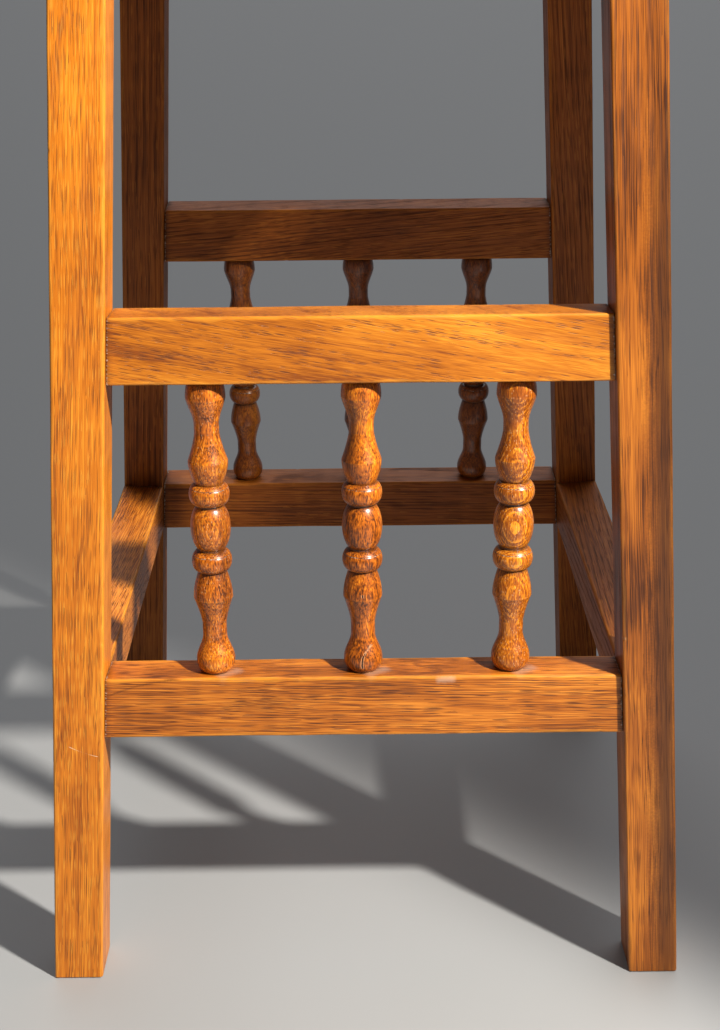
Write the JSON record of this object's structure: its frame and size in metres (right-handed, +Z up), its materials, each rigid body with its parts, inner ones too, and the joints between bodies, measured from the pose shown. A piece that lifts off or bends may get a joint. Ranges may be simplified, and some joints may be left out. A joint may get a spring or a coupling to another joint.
{
  "type": "plant stand",
  "caption": "Stained oak plant stand on splayed square legs, with a turned spindle gallery at front and back, low side stretchers and a moulded top.",
  "frame": {"origin": "on the floor, in the middle of the four feet", "axes": "+Z up, -Y towards the front gallery, +X to the right seen from the front"},
  "size_m": [0.391, 0.374, 0.7],
  "materials": {
    "stained_oak": "honey-brown stained oak, satin varnish, worn arrises",
    "turned_oak": "redder stained oak turnings, glossier varnish",
    "top_oak": "honey-brown stained oak boards, satin varnish",
    "plain_oak": "unfinished sawn oak",
    "screw_steel": "plain screw steel"
  },
  "bodies": {
    "root": {"leg_front_left": "stained_oak", "leg_front_right": "stained_oak", "leg_rear_left": "stained_oak", "leg_rear_right": "stained_oak", "front_upper_rail": "stained_oak", "front_lower_rail": "stained_oak", "rear_upper_rail": "stained_oak", "rear_lower_rail": "stained_oak", "left_stretcher": "stained_oak", "right_stretcher": "stained_oak", "front_apron": "stained_oak", "rear_apron": "stained_oak", "left_apron": "stained_oak", "right_apron": "stained_oak", "front_spindle_left": "turned_oak", "front_spindle_center": "turned_oak", "front_spindle_right": "turned_oak", "rear_spindle_left": "turned_oak", "rear_spindle_center": "turned_oak", "rear_spindle_right": "turned_oak", "top_board": "top_oak", "corner_block_front_left": "plain_oak", "corner_block_front_right": "plain_oak", "corner_block_rear_left": "plain_oak", "corner_block_rear_right": "plain_oak", "top_screw_front_left": "screw_steel", "top_screw_front_right": "screw_steel", "top_screw_rear_left": "screw_steel", "top_screw_rear_right": "screw_steel"}
  },
  "joints": []
}
